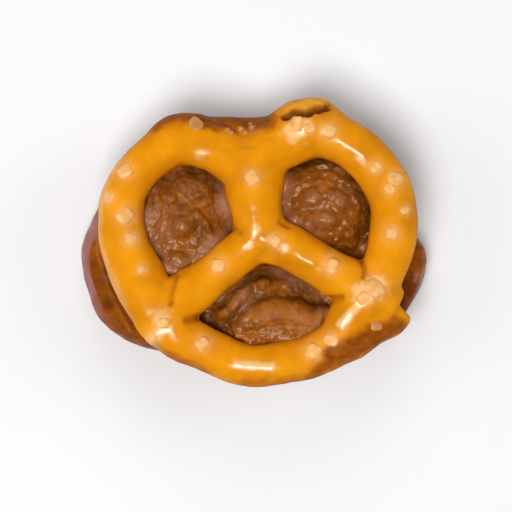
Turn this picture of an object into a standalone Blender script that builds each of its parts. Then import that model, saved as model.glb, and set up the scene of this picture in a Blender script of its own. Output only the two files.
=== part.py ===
"""A sandwich of two small knot pretzels held together by a soft chocolate filling.

It lies flat: the lower pretzel is turned over, with its crown on the table, the filling spreads between
the two flat backs and wells up through the holes, and the upper pretzel shows its salted crown.
"""

import math
import random

import bmesh
import bpy
from mathutils import Matrix, Vector, noise

MM = 0.001

# Driving dimensions, in millimetres. Heights are above the table.
LOWER_BACK = 5.4  # flat back of the lower pretzel
FILLING_DEPTH = 2.1  # filling between the two backs
SEAM = 0.3  # clearance between the filling and each pretzel
UPPER_BACK = LOWER_BACK + FILLING_DEPTH + 2 * SEAM
STRAND_RISE = 2.5  # centre line of a strand above its flat back
REST_DEPTH = 0.2  # how far the lower crown is worn flat where it rests
SALT_SIZE = 1.7
SALT_SUNK = 0.3  # share of a crystal's size between its centre and the crust

# Strands of dough, as (x, y, radius, lift) along each centre line, in millimetres
UPPER_RIM = [
    (-1.46, 9.92, 3.2, 0), (-4.8, 11.62, 3, 0), (-8.8, 12.8, 3.5, -0.2), (-11.7, 11.2, 2.95, 0),
    (-14.1, 8.9, 2.7, 0), (-15.9, 6.1, 2.75, 0), (-16.4, 3.2, 2.85, 0), (-16.06, -0.6, 3, 0),
    (-14.46, -4.38, 3.5, -0.2), (-12.56, -8.18, 3.2, 0), (-9.7, -11.3, 3.1, 0), (-5.8, -13.53, 2.8, 0),
    (-0.9, -15.33, 2.6, 0), (4, -15.1, 2.9, 0), (8.24, -13.78, 2.9, 0), (11.04, -12.08, 2.9, 0),
    (12.44, -9.38, 3, 0), (14.34, -6.38, 3, 0), (16.34, -3.18, 2.8, 0), (17.6, 2.6, 3, 0),
    (16.6, 7.1, 3, 0), (14.2, 10.3, 2.9, 0), (10.9, 12.7, 3, 0), (7.2, 14, 3.9, -0.6),
    (3.3, 12.4, 3.6, -0.3),
]
UPPER_STEM = [
    (0.2, 10.8, 4.5, -0.8), (0.14, 7.4, 3.85, -0.2), (0.5, 3.6, 3.25, 0.1), (1.44, -0.18, 3.35, 0),
    (1.94, -1.18, 2.5, 0), (1.54, -2.68, 1.7, -0.1),
]
UPPER_LEFT_ARM = [
    (1.6, 0.92, 2.6, 0.2), (-1.61, -1.43, 2.7, 0.3), (-5.11, -4.43, 2.55, 0.1), (-8.86, -7.13, 2.95, 0.1),
    (-11.4, -9.8, 3, 0.5), (-13.26, -11.88, 2.3, 0.1),
]
UPPER_RIGHT_ARM = [
    (-0.4, 0.8, 2.6, 0.2), (3.6, -0.2, 2.9, 0.2), (7.4, -2.3, 2.8, 0.1), (11.2, -4.6, 3, 0.1),
    (14.64, -6.58, 3.3, 0.2), (17.54, -8.38, 2.6, 0),
]
UPPER_TAIL = [
    (18.34, -8.28, 1.9, -0.2), (16.84, -9.68, 2.4, -0.4), (14.54, -10.78, 2.6, -0.4),
    (12.44, -12.08, 2.7, -0.3), (9.24, -13.48, 2.7, -0.2),
]
UPPER_DIP = [
    (-7.36, 13.82, 1.9, -0.9), (-4.36, 13.72, 1.85, -0.95), (-1.36, 13.62, 1.9, -1.1),
    (1.64, 13.77, 1.9, -0.95), (4.64, 14.12, 1.9, -0.8),
]
LOWER_RIM = [
    (-0.6, 11.4, 3.1, 0), (-5.4, 12.8, 3.1, 0), (-10.4, 11.8, 3, 0), (-14.5, 8.4, 3, 0),
    (-16.86, 3.72, 3, 0), (-18.56, 0.82, 2.9, 0), (-19.16, -2.08, 3, 0), (-18.46, -5.78, 2.9, 0),
    (-17.16, -8.58, 2.9, 0), (-14.56, -10.58, 2.9, 0), (-11.36, -11.38, 2.8, 0), (-7.56, -12.18, 2.8, 0),
    (-3, -13.58, 2.9, 0), (3.6, -14.1, 2.9, 0), (10, -12.7, 2.9, 0), (14.44, -10.58, 2.9, 0),
    (17.94, -6.88, 2.7, 0), (18.94, -4.38, 3, 0), (19.24, -1.58, 2.9, 0), (17.74, 1.22, 2.3, 0),
    (17.24, 3.42, 2.6, 0), (15.6, 7.4, 3, 0), (11.5, 11.1, 3, 0), (6, 12.8, 3.2, 0),
]
LOWER_STEM = [(0.0, 11.2, 3.3, 0.0), (-0.2, 7.2, 3.2, 0.0), (-0.4, 3.6, 3.0, 0.1), (-0.6, 0.4, 2.9, 0.1)]
LOWER_LEFT_ARM = [
    (0.8, 1.0, 2.5, 0.1), (-3.4, -0.6, 2.6, 0.2), (-8.0, -3.6, 2.6, 0.0), (-12.6, -7.0, 2.6, 0.1),
    (-15.4, -9.4, 2.7, 0.2),
]
LOWER_RIGHT_ARM = [
    (-1.8, 1.0, 2.5, 0.1), (2.4, -0.8, 2.6, 0.2), (7.0, -3.8, 2.6, 0.0), (11.6, -7.0, 2.6, 0.1),
    (15.4, -9.2, 2.7, 0.2),
]

# The crust has burst along the outer side of the upper right loop: (x, y, radius) along the split
SPLIT = [(4.1, 15.7, 0.2), (5.2, 15.5, 0.45), (6.7, 15.8, 0.4), (8.3, 16.2, 0.35), (9.8, 16.4, 0.2)]

# Salt on the upper crown, as (x, y, size as a share of SALT_SIZE)
UPPER_SALT = [
    (-7.06, 14.42, 1), (-15.96, 8.62, 1), (-17.96, 5.32, 0.85), (-15.66, 3.12, 1.1), (-15.06, 0.32, 0.95),
    (-0.06, 7.82, 0.9), (-4.26, -2.98, 0.9), (-6.26, -12.58, 1), (-11.16, -10.08, 0.8),
    (-12.56, -11.78, 0.7), (9.24, 13.62, 1), (5.44, 14.42, 0.9), (6.94, 13.92, 0.7), (15.14, 9.12, 0.8),
    (17.64, 7.72, 1), (16.84, 6.42, 0.8), (18.84, 3.92, 0.7), (17.14, 1.02, 0.95), (2.74, 0.02, 0.85),
    (9.64, -2.98, 1.05), (14.94, -5.58, 1.25), (13.54, -6.98, 0.9), (9.64, -12.18, 0.95),
    (7.44, -13.68, 1.05), (15.24, -10.38, 0.8), (-13.76, -3.38, 0.6),
]
LOWER_SALT_COUNT = 22
LOWER_SALT_SEED = 11

# Outline of the filling between the two backs, (x, y) in millimetres
FILLING_OUTLINE = [
    (-1.2, 15), (-5.8, 15.1), (-10.8, 14.6), (-14.6, 11.2), (-17.16, 5.4), (-18.16, -0.6),
    (-16.96, -6.2), (-14.16, -10.6), (-9.56, -13.38), (-3.6, -15.6), (3.4, -16), (10.4, -14.2),
    (16, -10.6), (17.9, -6.3), (19.44, -2), (18.6, 3.2), (17, 8.4), (12.4, 12.6), (6.6, 14.6),
    (2.4, 14.9),
]
# Mounds of filling in the upper holes, as (x, y, top above the table, radii along and across, turn in degrees)
UPPER_MOUNDS = [
    (-8.36, 2.82, 10.78, 6.6, 7.6, -8), (-8.66, 1.72, 11.88, 2.4, 2.4, 0),
    (-10.16, 6.02, 11.08, 2, 1.8, 20), (-6.16, 4.92, 10.98, 2, 2.4, 0),
    (-9.36, -1.98, 10.88, 2.2, 1.6, 0), (-5.76, 2.02, 11.18, 0.8, 2.4, 20),
    (9.04, 4.62, 10.68, 6.8, 6.8, 0), (7.54, 5.52, 11.28, 2.4, 2.1, 20),
    (10.84, 5.12, 11.28, 1.8, 2.5, 25), (8.94, 2.82, 11.48, 2.6, 2.3, -15),
    (11.84, 1.02, 10.98, 1.7, 2.1, 20), (5.44, 3.02, 10.88, 1.3, 2, 20),
    (1.24, -8.58, 10.28, 8.4, 6.4, 0), (-1.66, -7.08, 11.08, 1.7, 3.6, -35),
    (1.24, -5.38, 10.78, 1.8, 1.4, 0), (5.44, 7.22, 10.18, 3.6, 3.4, 0),
    (-10.26, -3.18, 10.48, 1.8, 1.6, 0), (7.94, -9.58, 10.48, 2.4, 2.2, 0),
]
# Rolls of filling pressed up through the upper holes, as (x, y, top above the table, radius) along each
UPPER_ROLLS = [
    [(-2.36, -11.18, 10.58, 1.5), (0.04, -9.58, 11.38, 1.9), (2.64, -8.78, 11.78, 2),
     (5.24, -9.08, 11.58, 2), (8.24, -9.78, 11.08, 1.8)],
    [(-1.16, -11.98, 10.48, 1.6), (2.24, -11.18, 10.98, 2), (5.44, -11.18, 10.88, 1.9),
     (8.64, -10.78, 10.58, 1.6)],
]
LOWER_MOUNDS = [
    (-8.8, 4.2, 2.9, 6.4, 6.8, 0), (-10.4, 5.6, 2.3, 2.2, 2.0, 0), (-7.4, 3.0, 2.2, 2.4, 2.0, 25),
    (8.4, 4.2, 2.9, 6.2, 6.6, 0), (9.6, 6.0, 2.3, 2.4, 1.8, 0), (7.2, 2.6, 2.2, 2.0, 2.2, 0),
    (-0.2, -8.4, 3.1, 8.0, 4.8, 0), (-3.4, -8.8, 2.5, 2.6, 1.8, 10), (3.0, -8.0, 2.4, 2.8, 2.0, -10),
]

DOUGH_VOXEL = 0.42
DOUGH_PASSES = 12  # rounds of smoothing
DOUGH_UNEVEN = (0.35, 5.0)  # height of the bumps in the skin, and how far apart they lie
FILLING_VOXEL = 0.36
FILLING_PASSES = 3
FILLING_UNEVEN = (0.5, 2.2)
UPPER_KEEP = 0.068  # share of the remeshed faces that each decimated solid keeps
LOWER_KEEP = 0.05
FILLING_KEEP = 0.045
CUTTER_KEEP = 0.045


def clear_scene():
    for old in list(bpy.data.objects):
        bpy.data.objects.remove(old)


def new_object(name, mesh, collection):
    made = bpy.data.objects.new(name, mesh)
    collection.objects.link(made)
    return made


def apply_modifiers(target):
    """Keeps the mesh as its modifiers show it, and drops them."""
    graph = bpy.context.evaluated_depsgraph_get()
    mesh = bpy.data.meshes.new_from_object(target.evaluated_get(graph))
    target.modifiers.clear()
    target.data = mesh


def tube_mesh(points, closed=False):
    """A closed round tube through (x, y, z, radius) points, in metres."""
    curve = bpy.data.curves.new("strand", "CURVE")
    curve.dimensions = "3D"
    curve.bevel_depth = 1.0
    curve.bevel_resolution = 4
    curve.resolution_u = 6
    curve.use_fill_caps = True
    spline = curve.splines.new("BEZIER")
    spline.bezier_points.add(len(points) - 1)
    spline.use_cyclic_u = closed
    for knot, (x, y, z, radius) in zip(spline.bezier_points, points):
        knot.co = (x, y, z)
        knot.radius = radius
        knot.handle_left_type = knot.handle_right_type = "AUTO"
    guide = new_object("strand_guide", curve, bpy.context.scene.collection)
    graph = bpy.context.evaluated_depsgraph_get()
    mesh = bpy.data.meshes.new_from_object(guide.evaluated_get(graph))
    bpy.data.objects.remove(guide)
    return mesh


def strand_mesh(strand, back, crown, grow, closed=False):
    """One strand of dough. crown is 1 where its round side faces up, and -1 where it faces down."""
    centre = [
        (x * MM, y * MM, (back + crown * (STRAND_RISE + lift)) * MM, (radius + grow) * MM)
        for x, y, radius, lift in strand
    ]
    return tube_mesh(centre, closed)


def joined(meshes):
    """One mesh holding all of these, with the loose ends of their caps welded."""
    body = bmesh.new()
    for mesh in meshes:
        body.from_mesh(mesh)
    bmesh.ops.remove_doubles(body, verts=body.verts, dist=0.001 * MM)
    mesh = bpy.data.meshes.new("joined")
    body.to_mesh(mesh)
    body.free()
    return mesh


def soften(target, voxel, passes):
    """Fuses the overlapping shapes of a mesh into one skin and rounds off the joins."""
    remesh = target.modifiers.new("fuse", "REMESH")
    remesh.mode = "VOXEL"
    remesh.voxel_size = voxel * MM
    smooth = target.modifiers.new("round_off", "SMOOTH")
    smooth.factor = 0.5
    smooth.iterations = passes
    apply_modifiers(target)


def roughen(target, height, scale, seed):
    """Pushes the skin in and out by smooth noise, so that no two stretches are alike."""
    skin = bmesh.new()
    skin.from_mesh(target.data)
    skin.normal_update()
    shift = Vector((seed, 2 * seed, 3 * seed))
    moves = [noise.noise(v.co / (scale * MM) + shift) * height * MM * v.normal for v in skin.verts]
    for vert, move in zip(skin.verts, moves):
        vert.co += move
    skin.to_mesh(target.data)
    skin.free()


def thin_out(target, keep):
    decimate = target.modifiers.new("thin_out", "DECIMATE")
    decimate.ratio = keep
    apply_modifiers(target)


def boolean(target, other, operation):
    cut = target.modifiers.new(operation.lower(), "BOOLEAN")
    cut.operation = operation
    cut.solver = "EXACT"
    if isinstance(other, bpy.types.Collection):
        cut.operand_type = "COLLECTION"
        cut.collection = other
    else:
        cut.object = other
    apply_modifiers(target)


def slab(name, low, high, collection):
    """A wide block between two heights, for trimming a flat face."""
    body = bmesh.new()
    bmesh.ops.create_cube(body, size=1.0)
    bmesh.ops.scale(body, verts=body.verts, vec=Vector((80 * MM, 80 * MM, (high - low) * MM)))
    bmesh.ops.translate(body, verts=body.verts, vec=Vector((0, 0, (low + high) / 2 * MM)))
    mesh = bpy.data.meshes.new(name)
    body.to_mesh(mesh)
    body.free()
    return new_object(name, mesh, collection)


def trim(target, low, high):
    """Cuts away what lies between two heights."""
    block = slab("trimmer", low, high, bpy.context.scene.collection)
    boolean(target, block, "DIFFERENCE")
    bpy.data.objects.remove(block)


def dough(name, strands, back, crown, keep, collection, grow=0.0):
    """One baked pretzel: a closed rim, a stem and two arms, fused, with a flat back."""
    rim, *others = strands
    meshes = [strand_mesh(rim, back, crown, grow, closed=True)]
    meshes += [strand_mesh(strand, back, crown, grow) for strand in others]
    body = new_object(name, joined(meshes), collection)
    soften(body, DOUGH_VOXEL, DOUGH_PASSES)
    roughen(body, *DOUGH_UNEVEN, seed=back)
    thin_out(body, keep)
    flat = back - crown * grow
    trim(body, *sorted((flat, flat - crown * 10)))
    return body


def crust_height(target, x, y, crown):
    """Where a line straight down (or up) through (x, y) first meets the crust, and the crust's normal there."""
    start = Vector((x * MM, y * MM, crown * 40 * MM))
    hit, place, normal, _ = target.ray_cast(start, Vector((0, 0, -crown)))
    return (place, normal) if hit else (None, None)


def crack(target, collection):
    """The burst skin: a narrow groove sunk into the crust along the split."""
    points = []
    for x, y, radius in SPLIT:
        place, _ = crust_height(target, x, y, 1)
        points.append((*place, radius * MM))
    groove = new_object("groove", joined([tube_mesh(points)]), collection)
    boolean(target, groove, "DIFFERENCE")
    bpy.data.objects.remove(groove)


def crystal(place, normal, size, draw, collection):
    """One coarse salt crystal: a chamfered, slightly uneven block set into the crust."""
    body = bmesh.new()
    bmesh.ops.create_cube(body, size=1.0)
    bmesh.ops.bevel(
        body, geom=list(body.edges), offset=0.18, segments=1, profile=0.5, affect="EDGES", material=-1
    )
    edge = [size * draw.uniform(0.8, 1.1), size * draw.uniform(0.65, 0.95), size * 0.75]
    bmesh.ops.scale(body, verts=body.verts, vec=Vector(edge) * MM)
    spin = Matrix.Rotation(draw.uniform(0, math.pi), 4, "Z")
    tilt = normal.to_track_quat("Z", "Y").to_matrix().to_4x4()
    body.transform(Matrix.Translation(place - normal * SALT_SUNK * size * MM * 0.5) @ tilt @ spin)
    mesh = bpy.data.meshes.new("crystal")
    body.to_mesh(mesh)
    body.free()
    return new_object("crystal", mesh, collection)


def salt(target, spots, crown, seed):
    """Fuses a crystal onto the crust at each (x, y, share of SALT_SIZE)."""
    draw = random.Random(seed)
    heap = bpy.data.collections.new("salt")
    bpy.context.scene.collection.children.link(heap)
    for x, y, share in spots:
        place, normal = crust_height(target, x, y, crown)
        if place is not None:
            crystal(place, normal, SALT_SIZE * share, draw, heap)
    boolean(target, heap, "UNION")
    for grain in list(heap.objects):
        bpy.data.objects.remove(grain)
    bpy.data.collections.remove(heap)


def lower_salt_spots():
    """Crystals along the lower rim and arms, beside the crest that it rests on."""
    draw = random.Random(LOWER_SALT_SEED)
    knots = LOWER_RIM + LOWER_LEFT_ARM[1:] + LOWER_RIGHT_ARM[1:]
    spots = []
    for count in range(LOWER_SALT_COUNT):
        x, y, radius, _ = knots[count * len(knots) // LOWER_SALT_COUNT]
        side = draw.choice((-1, 1)) * draw.uniform(0.45, 0.6) * radius
        outward = Vector((x, y)).normalized() * side
        spots.append((x + outward.x, y + outward.y, draw.uniform(0.7, 1.0)))
    return spots


def mound_mesh(x, y, top, along, across, turn):
    """A rounded heap of filling whose crest is at the given height. It reaches to the middle of the filling."""
    middle = LOWER_BACK + SEAM + FILLING_DEPTH / 2
    body = bmesh.new()
    bmesh.ops.create_icosphere(body, subdivisions=3, radius=1.0)
    bmesh.ops.scale(body, verts=body.verts, vec=Vector((along, across, abs(top - middle))) * MM)
    bmesh.ops.rotate(body, verts=body.verts, matrix=Matrix.Rotation(math.radians(turn), 3, "Z"))
    bmesh.ops.translate(body, verts=body.verts, vec=Vector((x, y, middle)) * MM)
    mesh = bpy.data.meshes.new("mound")
    body.to_mesh(mesh)
    body.free()
    return mesh


def roll_mesh(knots):
    return tube_mesh([(x * MM, y * MM, (top - radius) * MM, radius * MM) for x, y, top, radius in knots])


def spread_mesh():
    """The layer between the two backs: a rounded sheet that bulges a little past them."""
    curve = bpy.data.curves.new("spread", "CURVE")
    curve.dimensions = "2D"
    curve.fill_mode = "BOTH"
    rounding = 0.9
    curve.extrude = (FILLING_DEPTH / 2 + SEAM / 2 - rounding) * MM
    curve.bevel_depth = rounding * MM
    curve.bevel_resolution = 3
    spline = curve.splines.new("BEZIER")
    spline.bezier_points.add(len(FILLING_OUTLINE) - 1)
    spline.use_cyclic_u = True
    for knot, (x, y) in zip(spline.bezier_points, FILLING_OUTLINE):
        inset = Vector((x, y)) * (1 - rounding / Vector((x, y)).length)
        knot.co = (inset.x * MM, inset.y * MM, 0)
        knot.handle_left_type = knot.handle_right_type = "AUTO"
    guide = new_object("spread_guide", curve, bpy.context.scene.collection)
    graph = bpy.context.evaluated_depsgraph_get()
    mesh = bpy.data.meshes.new_from_object(guide.evaluated_get(graph))
    mesh.transform(Matrix.Translation((0, 0, (LOWER_BACK + SEAM + FILLING_DEPTH / 2) * MM)))
    bpy.data.objects.remove(guide)
    return mesh


def filling(name, collection, cutters):
    """The chocolate filling: a spread layer, mounds in the six hole ends, and rolls pressed up through them."""
    meshes = [spread_mesh()]
    meshes += [mound_mesh(*mound) for mound in UPPER_MOUNDS + LOWER_MOUNDS]
    meshes += [roll_mesh(roll) for roll in UPPER_ROLLS]
    body = new_object(name, joined(meshes), collection)
    soften(body, FILLING_VOXEL, FILLING_PASSES)
    roughen(body, *FILLING_UNEVEN, seed=7)
    thin_out(body, FILLING_KEEP)
    for cutter in cutters:
        boolean(body, cutter, "DIFFERENCE")
    return body


def finish(target, colour, roughness):
    """Gives the object its material and smooth shading."""
    material = bpy.data.materials.new(target.name)
    material.use_nodes = True
    shader = material.node_tree.nodes["Principled BSDF"]
    shader.inputs["Base Color"].default_value = (*colour, 1)
    shader.inputs["Roughness"].default_value = roughness
    shader.inputs["Metallic"].default_value = 0
    target.data.materials.clear()
    target.data.materials.append(material)
    target.data.shade_smooth()


def centre_on_table(parts):
    """Moves the whole so that its box stands on the origin."""
    corners = [v.co for part in parts for v in part.data.vertices]
    low = Vector([min(c[axis] for c in corners) for axis in range(3)])
    high = Vector([max(c[axis] for c in corners) for axis in range(3)])
    middle = (low + high) / 2
    for part in parts:
        part.data.transform(Matrix.Translation((-middle.x, -middle.y, -low.z)))


def main():
    clear_scene()
    pretzel = bpy.data.collections.new("pretzel")
    helpers = bpy.data.collections.new("cutters")
    bpy.context.scene.collection.children.link(pretzel)
    bpy.context.scene.collection.children.link(helpers)
    upper_strands = [UPPER_RIM, UPPER_STEM, UPPER_LEFT_ARM, UPPER_RIGHT_ARM, UPPER_TAIL, UPPER_DIP]
    lower_strands = [LOWER_RIM, LOWER_STEM, LOWER_LEFT_ARM, LOWER_RIGHT_ARM]

    upper = dough("pretzel_upper", upper_strands, UPPER_BACK, 1, UPPER_KEEP, pretzel)
    crack(upper, helpers)
    salt(upper, UPPER_SALT, 1, seed=3)

    lower = dough("pretzel_lower", lower_strands, LOWER_BACK, -1, LOWER_KEEP, pretzel)
    lowest = min(v.co.z for v in lower.data.vertices) / MM
    salt(lower, lower_salt_spots(), -1, seed=5)
    trim(lower, lowest - 5, lowest + REST_DEPTH)

    upper_room = dough("upper_room", upper_strands, UPPER_BACK, 1, CUTTER_KEEP, helpers, grow=SEAM)
    lower_room = dough("lower_room", lower_strands, LOWER_BACK, -1, CUTTER_KEEP, helpers, grow=SEAM)
    cream = filling("chocolate_filling", pretzel, [upper_room, lower_room])
    for cutter in (upper_room, lower_room):
        bpy.data.objects.remove(cutter)

    finish(upper, (0.83, 0.30, 0.01), 0.3)
    finish(lower, (0.30, 0.08, 0.01), 0.35)
    finish(cream, (0.20, 0.07, 0.015), 0.35)
    centre_on_table([upper, lower, cream])


main()
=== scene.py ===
# %% [markdown]
# # A filled pretzel sandwich
# The snack is two small knot pretzels pressed back to back on a soft chocolate filling. The CAD model
# already holds its pieces at their real size. This script dresses them: each strand of dough becomes a
# smooth glazed rope, the filling turns grainy, and the salt becomes crystals with a colour of their own.

# %% Tools
import math
import random

import bmesh
import bpy
import numpy as np
from mathutils import Matrix, Vector, noise


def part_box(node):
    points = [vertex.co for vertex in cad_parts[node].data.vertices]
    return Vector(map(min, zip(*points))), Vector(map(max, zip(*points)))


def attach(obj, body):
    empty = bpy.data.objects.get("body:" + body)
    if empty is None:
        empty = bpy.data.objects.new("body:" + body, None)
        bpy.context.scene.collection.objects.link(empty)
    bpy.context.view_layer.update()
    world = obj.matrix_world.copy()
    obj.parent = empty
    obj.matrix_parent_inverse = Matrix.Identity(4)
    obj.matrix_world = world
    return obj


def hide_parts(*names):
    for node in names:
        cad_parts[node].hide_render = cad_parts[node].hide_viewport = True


MM = 0.001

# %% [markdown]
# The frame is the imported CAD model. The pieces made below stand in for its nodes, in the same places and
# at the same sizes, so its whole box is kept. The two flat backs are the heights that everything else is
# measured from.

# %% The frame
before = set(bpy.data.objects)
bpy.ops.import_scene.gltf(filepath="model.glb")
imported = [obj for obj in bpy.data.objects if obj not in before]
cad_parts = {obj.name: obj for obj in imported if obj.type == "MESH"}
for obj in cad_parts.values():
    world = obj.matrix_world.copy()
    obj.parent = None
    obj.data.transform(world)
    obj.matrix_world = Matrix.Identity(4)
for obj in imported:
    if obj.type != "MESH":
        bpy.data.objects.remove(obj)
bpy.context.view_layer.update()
LOWER_LOW, LOWER_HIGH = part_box("pretzel_lower")
UPPER_LOW, UPPER_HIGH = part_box("pretzel_upper")
LOWER_BACK = LOWER_HIGH.z / MM
UPPER_BACK = UPPER_LOW.z / MM
print("nodes:", ", ".join(sorted(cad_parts)))
print(f"the lower pretzel stands from {LOWER_LOW.z / MM:.2f} mm up to its back at {LOWER_BACK:.2f} mm")
print(f"the upper one has its back at {UPPER_BACK:.2f} mm and its crown at {UPPER_HIGH.z / MM:.2f} mm")

# %% [markdown]
# A pretzel is a rope of dough tied in a loose knot. Each strand is written as knots along its centre line:
# where it runs, how thick it is, and how far it is lifted where it lies over another strand. These
# numbers are the shape, and everything else is worked out from them. The last strand of the upper pretzel is
# the low dip between its two loops, and the tail is the end of dough that sticks out at the lower right.

# %% Strands of the upper pretzel, as (x, y, radius, lift) in millimetres
UPPER_RIM = [
    (-1.5, 10.1, 3.2, 0), (-4.84, 11.8, 3, 0), (-8.84, 12.98, 3.5, -0.2), (-11.74, 11.38, 2.95, 0),
    (-14.14, 9.08, 2.7, 0), (-15.94, 6.28, 2.75, 0), (-16.44, 3.38, 2.85, 0), (-16.1, -0.42, 3, 0),
    (-14.5, -4.2, 3.5, -0.2), (-12.6, -8, 3.2, 0), (-9.74, -11.12, 3.1, 0), (-5.84, -13.35, 2.8, 0),
    (-0.94, -15.15, 2.6, 0), (3.96, -14.92, 2.9, 0), (8.2, -13.6, 2.9, 0), (11, -11.9, 2.9, 0),
    (12.4, -9.2, 3, 0), (14.3, -6.2, 3, 0), (16.3, -3, 2.8, 0), (17.56, 2.78, 3, 0), (16.56, 7.28, 3, 0),
    (14.16, 10.48, 2.9, 0), (10.86, 12.88, 3, 0), (7.16, 14.18, 3.9, -0.6), (3.26, 12.58, 3.6, -0.3),
]
UPPER_STEM = [
    (0.16, 10.98, 4.5, -0.8), (0.1, 7.58, 3.85, -0.2), (0.46, 3.78, 3.25, 0.1), (1.4, 0, 3.35, 0),
    (1.9, -1, 2.5, 0), (1.5, -2.5, 1.7, -0.1),
]
UPPER_LEFT_ARM = [
    (1.56, 1.1, 2.6, 0.2), (-1.65, -1.25, 2.7, 0.3), (-5.15, -4.25, 2.55, 0.1), (-8.9, -6.95, 2.95, 0.1),
    (-11.44, -9.62, 3, 0.5), (-13.3, -11.7, 2.3, 0.1),
]
UPPER_RIGHT_ARM = [
    (-0.44, 0.98, 2.6, 0.2), (3.56, -0.02, 2.9, 0.2), (7.36, -2.12, 2.8, 0.1), (11.16, -4.42, 3, 0.1),
    (14.6, -6.4, 3.3, 0.2), (17.5, -8.2, 2.6, 0),
]
UPPER_TAIL = [
    (18.3, -8.1, 1.9, -0.2), (16.8, -9.5, 2.4, -0.4), (14.5, -10.6, 2.6, -0.4), (12.4, -11.9, 2.7, -0.3),
    (9.2, -13.3, 2.7, -0.2),
]
UPPER_DIP = [
    (-7.4, 14, 1.9, -0.9), (-4.4, 13.9, 1.85, -0.95), (-1.4, 13.8, 1.9, -1.1), (1.6, 13.95, 1.9, -0.95),
    (4.6, 14.3, 1.9, -0.8),
]
UPPER_STRANDS = [UPPER_RIM, UPPER_STEM, UPPER_LEFT_ARM, UPPER_RIGHT_ARM, UPPER_TAIL, UPPER_DIP]
print(f"upper pretzel: {len(UPPER_STRANDS)} strands with {sum(map(len, UPPER_STRANDS))} knots")

# %% Strands of the lower pretzel
LOWER_RIM = [
    (-0.64, 11.58, 3.1, 0), (-5.44, 12.98, 3.1, 0), (-10.44, 11.98, 3, 0), (-14.54, 8.58, 3, 0),
    (-16.9, 3.9, 3, 0), (-18.6, 1, 2.9, 0), (-19.2, -1.9, 3, 0), (-18.5, -5.6, 2.9, 0),
    (-17.2, -8.4, 2.9, 0), (-14.6, -10.4, 2.9, 0), (-11.4, -11.2, 2.8, 0), (-7.6, -12, 2.8, 0),
    (-3.04, -13.4, 2.9, 0), (3.56, -13.92, 2.9, 0), (9.96, -12.52, 2.9, 0), (14.4, -10.4, 2.9, 0),
    (17.9, -6.7, 2.7, 0), (18.9, -4.2, 3, 0), (19.2, -1.4, 2.9, 0), (17.7, 1.4, 2.3, 0),
    (17.2, 3.6, 2.6, 0), (15.56, 7.58, 3, 0), (11.46, 11.28, 3, 0), (5.96, 12.98, 3.2, 0),
]
LOWER_STEM = [(-0.04, 11.38, 3.3, 0), (-0.24, 7.38, 3.2, 0), (-0.44, 3.78, 3, 0.1), (-0.64, 0.58, 2.9, 0.1)]
LOWER_LEFT_ARM = [
    (0.76, 1.18, 2.5, 0.1), (-3.44, -0.42, 2.6, 0.2), (-8.04, -3.42, 2.6, 0), (-12.64, -6.82, 2.6, 0.1),
    (-15.44, -9.22, 2.7, 0.2),
]
LOWER_RIGHT_ARM = [
    (-1.84, 1.18, 2.5, 0.1), (2.36, -0.62, 2.6, 0.2), (6.96, -3.62, 2.6, 0), (11.56, -6.82, 2.6, 0.1),
    (15.36, -9.02, 2.7, 0.2),
]
LOWER_STRANDS = [LOWER_RIM, LOWER_STEM, LOWER_LEFT_ARM, LOWER_RIGHT_ARM]
print(f"lower pretzel: {len(LOWER_STRANDS)} strands with {sum(map(len, LOWER_STRANDS))} knots")

# %% [markdown]
# Blender's own tool for a rope of changing thickness is a Bezier curve with a round bevel, because each
# knot of the curve carries a radius. A lofted mesh would do it too, but a curve keeps the strand smooth
# between its knots. Each curve is turned into a mesh, and all the strands are gathered in one object.

# %% From knots to a rope
STRAND_RISE = 2.5  # centre line of a strand above its flat back
ROUNDNESS = 8  # bevel resolution of a strand
SAME_PLACE = 0.001 * MM  # vertices closer than this are one


def tube(points, closed=False):
    """A closed round tube through (x, y, z, radius) points in millimetres."""
    curve = bpy.data.curves.new("rope", "CURVE")
    curve.dimensions = "3D"
    curve.bevel_depth = MM
    curve.bevel_resolution = ROUNDNESS
    curve.use_fill_caps = True
    spline = curve.splines.new("BEZIER")
    spline.bezier_points.add(len(points) - 1)
    spline.use_cyclic_u = closed
    for knot, (x, y, z, radius) in zip(spline.bezier_points, points):
        knot.co = (x * MM, y * MM, z * MM)
        knot.radius = radius
        knot.handle_left_type = knot.handle_right_type = "AUTO"
    guide = bpy.data.objects.new("rope", curve)
    bpy.context.scene.collection.objects.link(guide)
    mesh = bpy.data.meshes.new_from_object(guide.evaluated_get(bpy.context.evaluated_depsgraph_get()))
    bpy.data.objects.remove(guide)
    return mesh


def strand(knots, back, crown, closed=False):
    """One strand of dough; crown is 1 where its round side faces up and -1 where it faces down."""
    points = [(x, y, back + crown * (STRAND_RISE + lift), radius) for x, y, radius, lift in knots]
    return tube(points, closed)


def gathered(name, meshes):
    """One object that holds all of the meshes."""
    body = bmesh.new()
    for mesh in meshes:
        body.from_mesh(mesh)
        bpy.data.meshes.remove(mesh)
    bmesh.ops.remove_doubles(body, verts=body.verts, dist=SAME_PLACE)
    mesh = bpy.data.meshes.new(name)
    body.to_mesh(mesh)
    body.free()
    piece = bpy.data.objects.new(name, mesh)
    bpy.context.scene.collection.objects.link(piece)
    return piece


# %% [markdown]
# In the oven the strands bake into each other and only soft valleys stay between them. A voxel remesh does
# the same to the mesh: it keeps the outside of everything that overlaps, as one skin of even small faces.
# A union of the tubes would leave sharp joins instead. Smoothing then fills the valleys.

# %% Baking the strands together
VOXEL = 0.2  # size of the remesh's cells, small enough for the creases


def bake_together(piece, passes):
    """Fuses overlapping shapes into one skin and rounds off the joins by passes of smoothing."""
    fuse = piece.modifiers.new("fuse", "REMESH")
    fuse.mode = "VOXEL"
    fuse.voxel_size = VOXEL * MM
    smooth = piece.modifiers.new("round_off", "SMOOTH")
    smooth.factor = 0.5
    smooth.iterations = passes
    mesh = bpy.data.meshes.new_from_object(piece.evaluated_get(bpy.context.evaluated_depsgraph_get()))
    piece.modifiers.clear()
    piece.data = mesh


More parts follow.
